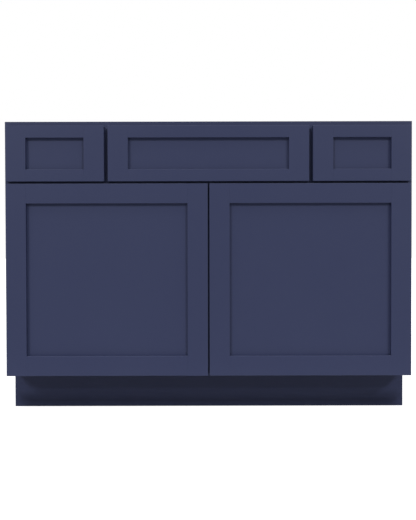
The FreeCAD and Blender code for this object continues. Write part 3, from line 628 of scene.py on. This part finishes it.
FRAME_ARRIS = 1.0
for node in ("face_stile_left", "face_stile_right", "face_top_rail", "face_mid_rail",
             "face_bottom_rail", "face_centre_stile", "drawer_stiles", "toe_kick_cover"):
    painted(node, FRAME_ARRIS, frame_rule)
print("face frame and toe kick are eased")

# %% [markdown]
# ## Plywood sheets
#
# The carcass is birch plywood. Its faces show veneer, its sawn edges show the layers, and the
# outside of each end is painted like the doors. One piece therefore carries three finishes, and
# each face takes its own by the way it points.

# %% Plywood sheets
PLY_ARRIS = 0.5


def plywood_sheet(node, across, grain, painted_side=0.0):
    """A sheet with an axis across it, an axis along its grain, and perhaps one painted side."""
    piece = ease(merged_copy(node), PLY_ARRIS, segments=2)
    axis = "xyz".index(across)
    sheet_low, sheet_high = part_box(node)
    mesh = piece.data
    depth = mesh.attributes.new("ply", "FLOAT", "POINT")
    for vertex, mark in zip(mesh.vertices, depth.data):
        mark.value = (vertex.co[axis] - sheet_low[axis]) / (sheet_high[axis] - sheet_low[axis])
    mark_arrises(piece, PLY_ARRIS)
    for material in (birch_veneer[grain], sawn_plywood, navy_paint):
        mesh.materials.append(material)
    for face in mesh.polygons:
        facing = face.normal[axis]
        if facing * painted_side > 0.3:
            face.material_index = 2
        elif abs(facing) < 0.7:
            face.material_index = 1


plywood_sheet("side_panel_left", "x", "z", -1.0)
plywood_sheet("side_panel_right", "x", "z", 1.0)
plywood_sheet("bottom_panel", "z", "x")
plywood_sheet("back_panel", "y", "z")
plywood_sheet("toe_kick_board", "y", "x")
plywood_sheet("back_rails", "y", "x")
print("six plywood sheets")

# %% [markdown]
# ## Dovetailed drawer boxes
#
# The boxes are solid birch. Their corners are dovetailed: pins on the front and back boards pass
# through the sides, and the wedge shape stops the front from pulling off. Each pin starts as a
# cube whose outer end is squeezed in edit mode. Larger copies of the pins cut the sockets out of
# the sides with a Boolean modifier, and the pins themselves join the end boards. Their ends
# show end grain, which is darker.

# %% Helpers to shape and cut blocks
def block(name, corner_low, corner_high):
    """A box from its lowest and highest corners, to be shaped further."""
    corner_low, corner_high = Vector(corner_low), Vector(corner_high)
    bpy.ops.object.select_all(action="DESELECT")
    bpy.ops.mesh.primitive_cube_add(size=1.0, location=(corner_low + corner_high) / 2)
    piece = bpy.context.object
    piece.name = name
    piece.scale = corner_high - corner_low
    bpy.ops.object.transform_apply()
    return piece


def cylinder(name, sides, radius, height, middle):
    """An upright cylinder round its middle point, to be shaped further."""
    bpy.ops.object.select_all(action="DESELECT")
    bpy.ops.mesh.primitive_cylinder_add(vertices=sides, radius=radius, depth=height,
                                        location=middle)
    piece = bpy.context.object
    piece.name = name
    bpy.ops.object.transform_apply()
    return piece


def pick_faces(piece, test):
    """Enter edit mode with only the faces that pass a test of their middle and normal."""
    only(piece)
    bpy.ops.object.mode_set(mode="EDIT")
    bpy.ops.mesh.select_mode(type="FACE")
    bpy.ops.mesh.select_all(action="DESELECT")
    shape = bmesh.from_edit_mesh(piece.data)
    for face in shape.faces:
        face.select_set(bool(test(face.calc_center_median(), face.normal)))
    bmesh.update_edit_mesh(piece.data)


def leave_edit():
    bpy.ops.object.mode_set(mode="OBJECT")


def extrude(*offset):
    """Draw the picked faces out, or sink them in."""
    bpy.ops.mesh.extrude_region_move(TRANSFORM_OT_translate={"value": offset})


def sink(piece, test, rim, *offset):
    """Inset the faces that pass a test, which leaves a rim, and move the rest of them in."""
    pick_faces(piece, test)
    bpy.ops.mesh.inset(thickness=rim * MM)
    extrude(*offset)
    leave_edit()


def joined(*pieces):
    """Several pieces as one mesh. The last piece keeps its name and its place in the frame."""
    only(*pieces)
    if len(pieces) > 1:
        bpy.ops.object.join()
    return bpy.context.object


def cut_away(piece, *cutters):
    """Cut the cutters' shapes out of a piece with one Boolean modifier."""
    tool = joined(*cutters)
    only(piece)
    cut = piece.modifiers.new("cut", "BOOLEAN")
    cut.operation, cut.solver, cut.use_self, cut.object = "DIFFERENCE", "EXACT", True, tool
    bpy.ops.object.modifier_apply(modifier=cut.name)
    bpy.data.objects.remove(tool)
    return piece


print("helpers ready: block, cylinder, pick_faces, extrude, sink, joined, cut_away")

# %% Dovetail pins
PIN_END, PIN_SHOULDER = 5.0, 8.5        # a pin's height at its end and at its shoulder
PIN_SLACK = 0.08                        # glue room above and below it
PIN_HEIGHTS = (0.31, 0.51, 0.71, 0.91)  # shares of the drawer side's height


def dovetail_pin(x_low, x_high, shoulder, outer, height, grow=0.0):
    """A pin from its shoulder to the outer end. A grown pin is longer and serves as a cutter."""
    outwards = math.copysign(1.0, outer - shoulder)
    length = abs(outer - shoulder)
    wide, narrow = PIN_SHOULDER * MM, PIN_END * MM
    reach = grow * MM
    narrow_end = narrow - (wide - narrow) * reach / length
    y_low, y_high = sorted((shoulder, outer + outwards * reach))
    slack = 0.0 if grow else PIN_SLACK * MM
    pin = block("pin", (x_low - reach, y_low, height - wide / 2 + slack),
                (x_high + reach, y_high, height + wide / 2 - slack))
    pick_faces(pin, lambda middle, normal: normal.y * outwards > 0.9)
    bpy.ops.transform.resize(value=(1.0, 1.0, narrow_end / wide))
    leave_edit()
    return pin


def dovetail_pins(sides_low, sides_high, board, shoulder, outer, grow=0.0):
    """The pins of one end board, at both of its ends."""
    lift = sides_high.z - sides_low.z
    return [dovetail_pin(x, x + board, shoulder, outer, sides_low.z + share * lift, grow)
            for x in (sides_low.x, sides_high.x - board) for share in PIN_HEIGHTS]


print("a pin is", PIN_END, "mm high at its end and", PIN_SHOULDER, "mm at its shoulder")

# %% Drawer boxes
def box_rule(node):
    """Upper edges of a drawer box are rounded for the hand, the others are just broken."""
    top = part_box(node)[1].z
    return lambda middle, along: (
        1.0 if abs(middle.z - top) < NEAR and abs(along.z) < 0.5 else 0.2)


BOX_ARRIS, CUTTER_GROWTH = 1.6, 1.0
for side in ("left", "right"):
    name = f"drawer_{side}_box_"
    sides_low, sides_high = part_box(name + "sides")
    front_low, front_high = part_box(name + "front")
    back_low, back_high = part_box(name + "back")
    board = front_high.y - front_low.y
    ends = {"front": (front_high.y, front_low.y), "back": (back_low.y, back_high.y)}
    box_sides = ease(merged_copy(name + "sides"), BOX_ARRIS, box_rule(name + "sides"))
    for end, (shoulder, outer) in ends.items():
        place = (sides_low, sides_high, board, shoulder, outer)
        cut_away(box_sides, *dovetail_pins(*place, CUTTER_GROWTH))
        end_board = ease(merged_copy(name + end), BOX_ARRIS, box_rule(name + end))
        end_board = joined(*dovetail_pins(*place), end_board)
        end_board.data.materials.append(drawer_birch["x"])
        end_board.data.materials.append(birch_end_grain)
        for face in end_board.data.polygons:
            from_sides = min(abs(face.center.x - x) for x in (sides_low.x, sides_high.x))
            face.material_index = 1 if from_sides < NEAR else 0
    box_sides.data.materials.append(drawer_birch["y"])
    fitting(name + "bottom", 0.3, drawer_birch["x"], sharp=32.0)
    print(box_sides.name, "has", len(box_sides.data.polygons), "faces")

# %% [markdown]
# ## Screws
#
# Wood screws hold the fittings. A screw is modelled upright at the origin: a cylinder whose top
# is drawn in for a domed head, a cross cut with tapered blades, and a shank drawn down ring by
# ring for the thread. Each CAD screw then says where a copy goes: its head is at the end where
# it is widest.

# %% Model one screw
def pick_top(piece, top=True):
    """Enter edit mode with the highest or the lowest face."""
    heights = [vertex.co.z for vertex in piece.data.vertices]
    level = max(heights) if top else min(heights)
    pick_faces(piece, lambda middle, normal: abs(middle.z - level) < 1e-6 and abs(normal.z) > 0.9)


def draw_out(lift, size):
    """Extrude the picked face along Z and resize its new end."""
    extrude(0, 0, lift)
    bpy.ops.transform.resize(value=(size, size, 1.0))


BLADE = 0.9             # thickness of a driver's blade, in millimetres like all sizes here


def cross_cutter(reach, depth, top):
    """Two crossed blades, narrower at their lower end, that cut a driver's recess."""
    blades = []
    for x, y in ((reach / 2, BLADE / 2 * MM), (BLADE / 2 * MM, reach / 2)):
        blade = block("blade", (-x, -y, top - depth), (x, y, top + MM))
        pick_top(blade, top=False)
        bpy.ops.transform.resize(value=(0.45, 0.45, 1.0))
        leave_edit()
        blades.append(blade)
    return blades


HEAD_RADIUS, CORE_RADIUS, HEAD_RIM, TIP = 3.6, 1.75, 0.7, 3.5
THREAD_WAIST = 0.74     # the thread's root, as a share of its crest


def make_screw(name, length, rings=6):
    """A wood screw with its seat at the origin and its tip down."""
    screw = cylinder(name, 20, HEAD_RADIUS * MM, HEAD_RIM * MM, (0, 0, HEAD_RIM / 2 * MM))
    pick_top(screw)
    for lift, size in ((0.7, 0.93), (0.5, 0.84), (0.3, 0.7)):
        draw_out(lift * MM, size)
    leave_edit()
    pick_top(screw, top=False)
    bpy.ops.mesh.inset(thickness=(HEAD_RADIUS - CORE_RADIUS) * MM)
    pitch = (length - TIP) / rings
    for _ in range(rings):
        draw_out(-pitch * 0.5 * MM, THREAD_WAIST)
        draw_out(-pitch * 0.5 * MM, 1 / THREAD_WAIST)
    draw_out(-TIP * MM, 0.08)
    leave_edit()
    cut_away(screw, *cross_cutter(4.0 * MM, 1.4 * MM, 2.2 * MM))
    only(screw)
    bpy.ops.object.shade_smooth_by_angle(angle=math.radians(35))
    screw.data.materials.append(screw_zinc)
    return screw


short_screw = make_screw("short_screw", 11.0)
long_screw = make_screw("long_screw", 27.0, rings=12)
print("one short screw has", len(short_screw.data.polygons), "faces")

# %% Helper to find the solids of a node
def solids_of(node):
    """The corner points of each separate solid in a CAD node."""
    mesh = frame["nodes"][node].data
    found = {}
    ids = [found.setdefault(tuple(round(c, 6) for c in v.co), len(found)) for v in mesh.vertices]
    parent = list(range(len(found)))

    def root(index):
        while parent[index] != index:
            parent[index] = parent[parent[index]]
            index = parent[index]
        return index

    for face in mesh.polygons:
        first = root(ids[face.vertices[0]])
        for vertex in face.vertices:
            parent[root(ids[vertex])] = first
    groups = {}
    for point, index in found.items():
        groups.setdefault(root(index), []).append(Vector(point))
    return list(groups.values())


def corners_of(points):
    """Lowest and highest corner of some points."""
    return (Vector([min(p[k] for p in points) for k in range(3)]),
            Vector([max(p[k] for p in points) for k in range(3)]))


def stamp(master, placements):
    """One piece from copies of a master, each copy moved by its own matrix."""
    copies = []
    for placement in placements:
        copy = bpy.data.objects.new(master.name + "_copy", master.data.copy())
        bpy.context.scene.collection.objects.link(copy)
        copy.data.transform(placement)
        if placement.determinant() < 0:
            copy.data.flip_normals()
        copies.append(copy)
    return joined(*copies)


print("the cabinet's own screws:", len(solids_of("cabinet_screws")))

# %% Place the screws
SCREW_HEAD_HEIGHT = 2.2     # how far the head stands above the screw's seat


def screw_placement(points):
    """The matrix that seats the model screw where a CAD screw is."""
    screw_low, screw_high = corners_of(points)
    size = screw_high - screw_low
    axis = max(range(3), key=lambda k: size[k])
    centre = (screw_low + screw_high) / 2

    def girth(level):
        near = [p for p in points if abs(p[axis] - level) < NEAR]
        return max(max(abs(p[k] - centre[k]) for k in range(3) if k != axis) for p in near)

    head_is_high = girth(screw_high[axis]) > girth(screw_low[axis])
    direction = Vector([float(k == axis) for k in range(3)]) * (1 if head_is_high else -1)
    seat = centre.copy()
    seat[axis] = (screw_high if head_is_high else screw_low)[axis]
    seat -= direction * SCREW_HEAD_HEIGHT * MM
    return Matrix.Translation(seat) @ direction.to_track_quat("Z", "Y").to_matrix().to_4x4()


SCREW_NODES = {"cabinet_screws": short_screw, "door_left_cup_screws": short_screw,
               "door_right_cup_screws": short_screw, "drawer_left_front_screws": long_screw,
               "drawer_right_front_screws": long_screw}
for node, master in SCREW_NODES.items():
    stands_for(stamp(master, [screw_placement(points) for points in solids_of(node)]), node)
print("screws placed in", len(SCREW_NODES), "nodes")

# %% [markdown]
# ## Bumpers
#
# Small domes of clear polyurethane stop the fronts from knocking. A cylinder is drawn in ring by
# ring to a dome. The copies sit on the face frame and point at the fronts.

# %% Bumpers
bumper_points = solids_of("bumpers")
first_low, first_high = corners_of(bumper_points[0])
bumper_radius, bumper_height = (first_high.x - first_low.x) / 2, first_high.y - first_low.y
FOOT_SHARE = 0.3        # the straight foot's share of a bumper's height
bumper = cylinder("bumper", 28, bumper_radius * 0.97, bumper_height * FOOT_SHARE,
                  (0, 0, bumper_height * FOOT_SHARE / 2))
pick_top(bumper)
for lift, size in ((0.22, 0.97), (0.2, 0.92), (0.16, 0.8), (0.09, 0.6), (0.03, 0.4)):
    draw_out(lift * bumper_height, size)
leave_edit()
only(bumper)
bpy.ops.object.shade_smooth()
bumper.data.materials.append(clear_rubber)
towards_front = Matrix.Rotation(math.radians(90), 4, "X")
placements = []
for points in bumper_points:
    pad_low, pad_high = corners_of(points)
    foot = Vector(((pad_low.x + pad_high.x) / 2, pad_high.y, (pad_low.z + pad_high.z) / 2))
    placements.append(Matrix.Translation(foot) @ towards_front)
stands_for(stamp(bumper, placements), "bumpers")
for master in (short_screw, long_screw, bumper):
    bpy.data.objects.remove(master)
print(len(placements), "bumpers", round(bumper_height / MM, 2), "mm high")

# %% [markdown]
# ## Concealed hinges
#
# Cup, link and arm are pressed steel and keep their CAD shapes, because the two pins must stay
# where the joints turn. Pressing leaves small radii along every edge. Each arm also gets the two
# cam screws that a fitter turns to set the door level.

# %% Concealed hinges
for node in ("door_left_hinge_cups", "door_right_hinge_cups", "hinge_links_left",
             "hinge_links_right", "hinge_arms"):
    fitting(node, 0.25, nickel_plate)

cam = cylinder("cam", 24, 3.2 * MM, 0.8 * MM, (0, 0, 0.4 * MM))
pick_top(cam)
draw_out(0.35 * MM, 0.88)
leave_edit()
cut_away(cam, *cross_cutter(3.6 * MM, 0.8 * MM, 1.15 * MM))
only(cam)
bpy.ops.object.shade_smooth_by_angle(angle=math.radians(35))
cam.data.materials.append(screw_zinc)
into_cabinet = Matrix.Rotation(math.radians(-90), 4, "X")
placements = []
for points in solids_of("hinge_arms"):
    arm_low, arm_high = corners_of(points)
    height = (arm_low.z + arm_high.z) / 2
    plate = max(abs(arm_low.x), abs(arm_high.x)) - 3 * MM   # the arm's foot lies past this
    back = max(p.y for p in points if abs(p.z - height) < 7 * MM and abs(p.x) < plate)
    for share in (0.42, 0.74):
        x = arm_low.x + (arm_high.x - arm_low.x) * (share if arm_low.x < 0 else 1 - share)
        placements.append(Matrix.Translation((x, back, height)) @ into_cabinet)
cams = stamp(cam, placements)
cams.name = "hinge_cam_screws"
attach(cams, "cabinet")
bpy.data.objects.remove(cam)
print(len(placements), "cam screws on the hinge arms")

# %% [markdown]
# ## Drawer slides
#
# Undermount slides are long folded steel members. Their folds are rounded, and their floors are
# punched with round and long holes for screws and to save weight. The holes are cut with one
# Boolean modifier per node, from a row of upright cutters.

# %% Drawer slides
PUNCH_HEIGHT = 6.0      # millimetres, well over a sheet's thickness


def punch(x, y, level, radius, length):
    """An upright cutter for a round or a long hole through a flat sheet."""
    tool = cylinder("punch", 20, radius * MM, PUNCH_HEIGHT * MM, (x, y, level))
    if length:
        only(tool)
        bpy.ops.object.mode_set(mode="EDIT")
        bpy.ops.mesh.select_mode(type="VERT")
        bpy.ops.mesh.select_all(action="DESELECT")
        shape = bmesh.from_edit_mesh(tool.data)
        for vertex in shape.verts:
            vertex.select_set(vertex.co.y > y + 1e-5)
        bmesh.update_edit_mesh(tool.data)
        bpy.ops.transform.translate(value=(0, length * MM, 0))
        leave_edit()
    return tool


def punched_member(node, level, holes):
    """A slide member with rounded folds and punched holes.

    A hole is a share of the member's length, a radius, and how much longer than round it is."""
    member = ease(merged_copy(node), 0.6, sharp=50.0, segments=2)
    tools = []
    for points in solids_of(node):
        bar_low, bar_high = corners_of(points)
        x, run = (bar_low.x + bar_high.x) / 2, bar_high.y - bar_low.y
        z = bar_low.z if level == "low" else bar_high.z
        tools += [punch(x, bar_low.y + run * share, z, radius, length)
                  for share, radius, length in holes]
    cut_away(member, *tools)
    member.data.materials.append(zinc_plate)
    return member


CHANNEL_HOLES = ((0.05, 2.3, 0), (0.1, 2.3, 6), (0.28, 2.3, 0), (0.42, 3.0, 14),
                 (0.6, 2.3, 0), (0.74, 3.0, 14), (0.9, 2.3, 6))
RUNNER_HOLES = ((0.06, 2.3, 0), (0.34, 3.2, 10), (0.66, 3.2, 10), (0.94, 2.3, 0))
channels = punched_member("slide_channels", "low", CHANNEL_HOLES)
for side in ("left", "right"):
    punched_member(f"drawer_{side}_runners", "high", RUNNER_HOLES)
    punched_member(f"drawer_{side}_slide_middles", "low", RUNNER_HOLES)
print("slide channels have", len(channels.data.polygons), "faces")

# %% [markdown]
# ## Locking clips
#
# A plastic clip at the front of each runner holds the drawer box, and its lever is squeezed to
# take the drawer off. The block is eased, its front is inset and sunk, and a ribbed lever is
# drawn out of a second block inside the sunk part.

# %% Locking clips
for side in ("left", "right"):
    node = f"drawer_{side}_locks"
    shells, levers = [], []
    for points in solids_of(node):
        clip_low, clip_high = corners_of(points)
        shell = block("clip", clip_low, clip_high)
        sink(shell, lambda middle, normal: normal.y < -0.9, 2.2, 0, 9 * MM, 0)
        sink(shell, lambda middle, normal: (
            normal.z < -0.9 and middle.z < clip_low.z + 0.1 * MM), 2.4, 0, 0, 1.2 * MM)
        shells.append(shell)
        inner_low = clip_low + Vector((3.4, 1.4, 3.2)) * MM
        inner_high = clip_high - Vector((3.4, 9.5, 3.2)) * MM
        lever = block("lever", inner_low, inner_high)
        pick_faces(lever, lambda middle, normal: normal.y < -0.9)
        bpy.ops.mesh.subdivide(number_cuts=4)
        leave_edit()
        column = (inner_high.x - inner_low.x) / 5
        pick_faces(lever, lambda middle, normal: normal.y < -0.9
                   and int((middle.x - inner_low.x) / column) % 2 == 0)
        extrude(0, -1.0 * MM, 0)
        leave_edit()
        levers.append(lever)
    clips = stands_for(joined(*levers, *shells), node)
    ease(clips, 0.45, segments=2)
    clips.data.materials.append(grey_plastic)
print("locking clips have", len(clips.data.polygons), "faces")

# %% [markdown]
# ## Rear brackets and corner braces
#
# Both are moulded nylon, and a moulding is never solid: its thick parts are hollowed so that
# they cool evenly. Each bracket's two sides are inset and sunk, which leaves a rim and a thin
# web. Each corner brace gets ribs that taper away from its walls and a boss round the counter's
# screw.

# %% Rear brackets
RIM, POCKET_DEPTH = 1.3, 14.0
brackets = merged_copy("slide_rear_brackets")
bracket_boxes = [corners_of(points) for points in solids_of("slide_rear_brackets")]
for direction in (1, -1):
    sink(brackets, lambda middle, normal: normal.x * direction > 0.9 and any(
        abs(middle.x - (box_high.x if direction > 0 else box_low.x)) < 0.1 * MM
        for box_low, box_high in bracket_boxes), RIM, -direction * POCKET_DEPTH * MM, 0, 0)
ease(brackets, 0.35, sharp=40.0, segments=2)
brackets.data.materials.append(white_nylon)
print("rear brackets have", len(brackets.data.polygons), "faces")

# %% Corner braces
fitting("corner_braces", 0.6, white_nylon, sharp=40.0)
RIB_THICKNESS, RIB_DROP, WALL = 2.2, 18.0, 3.5
SCREW_PLACE, SCREW_BORE, BOSS_RADIUS, BOSS_HEIGHT = 24.0, 2.75, 6.0, 7.0
ribs = []
for start, reach in ((11.0, 54.0), (36.0, 32.0)):
    rib = block("rib", (WALL * MM, start * MM, -RIB_DROP * MM),
                ((WALL + reach) * MM, (start + RIB_THICKNESS) * MM, -WALL * MM))
    pick_faces(rib, lambda middle, normal: normal.x > 0.9)
    tip = ((WALL + reach) * MM, start * MM, -WALL * MM)
    bpy.ops.transform.resize(value=(1, 1, 0.12), center_override=tip)
    leave_edit()
    ribs.append(rib)
at_screw = SCREW_PLACE * MM
boss = cylinder("boss", 32, BOSS_RADIUS * MM, BOSS_HEIGHT * MM,
                (at_screw, at_screw, -(WALL + BOSS_HEIGHT / 2) * MM))
pick_top(boss, top=False)
bpy.ops.transform.resize(value=(0.9, 0.9, 1.0))
leave_edit()
cut_away(boss, *(punch(at_screw, at_screw, -(WALL + depth) * MM, SCREW_BORE, 0)
                 for depth in (3.5, 7.5)))
ribbing = joined(*ribs, boss)
ribbing.name = "brace_ribbing"
ease(ribbing, 0.3, sharp=60.0, segments=2)
ribbing.data.materials.append(white_nylon)

TURNS = {(True, True): 0, (False, True): 90, (False, False): 180, (True, False): 270}
placements = []
for points in solids_of("corner_braces"):
    brace_low, brace_high = corners_of(points)
    at_left, at_front = brace_low.x < 0, (brace_low.y + brace_high.y) / 2 < 0
    corner = (brace_low.x if at_left else brace_high.x, brace_low.y if at_front else brace_high.y,
              brace_high.z)
    turn = Matrix.Rotation(math.radians(TURNS[at_left, at_front]), 4, "Z")
    placements.append(Matrix.Translation(corner) @ turn)
ribs_piece = stamp(ribbing, placements)
ribs_piece.name = "corner_brace_ribs"
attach(ribs_piece, "cabinet")
bpy.data.objects.remove(ribbing)
print("four corner braces ribbed")

# %% [markdown]
# ## Angle brackets
#
# The fixed front hangs on four bent steel angles. They keep their shape and get rounded folds.

# %% Angle brackets
angles = fitting("false_front_brackets", 0.4, zinc_plate)
print("angle brackets have", len(angles.data.polygons), "faces")

# %% [markdown]
# ## What is left
#
# Last, the script prints the CAD nodes that are still shown, which no made piece stands for.

# %% List the CAD nodes still shown
left_over = sorted(node for node, item in frame["nodes"].items() if not item.hide_render)
print("CAD nodes still shown:", left_over)
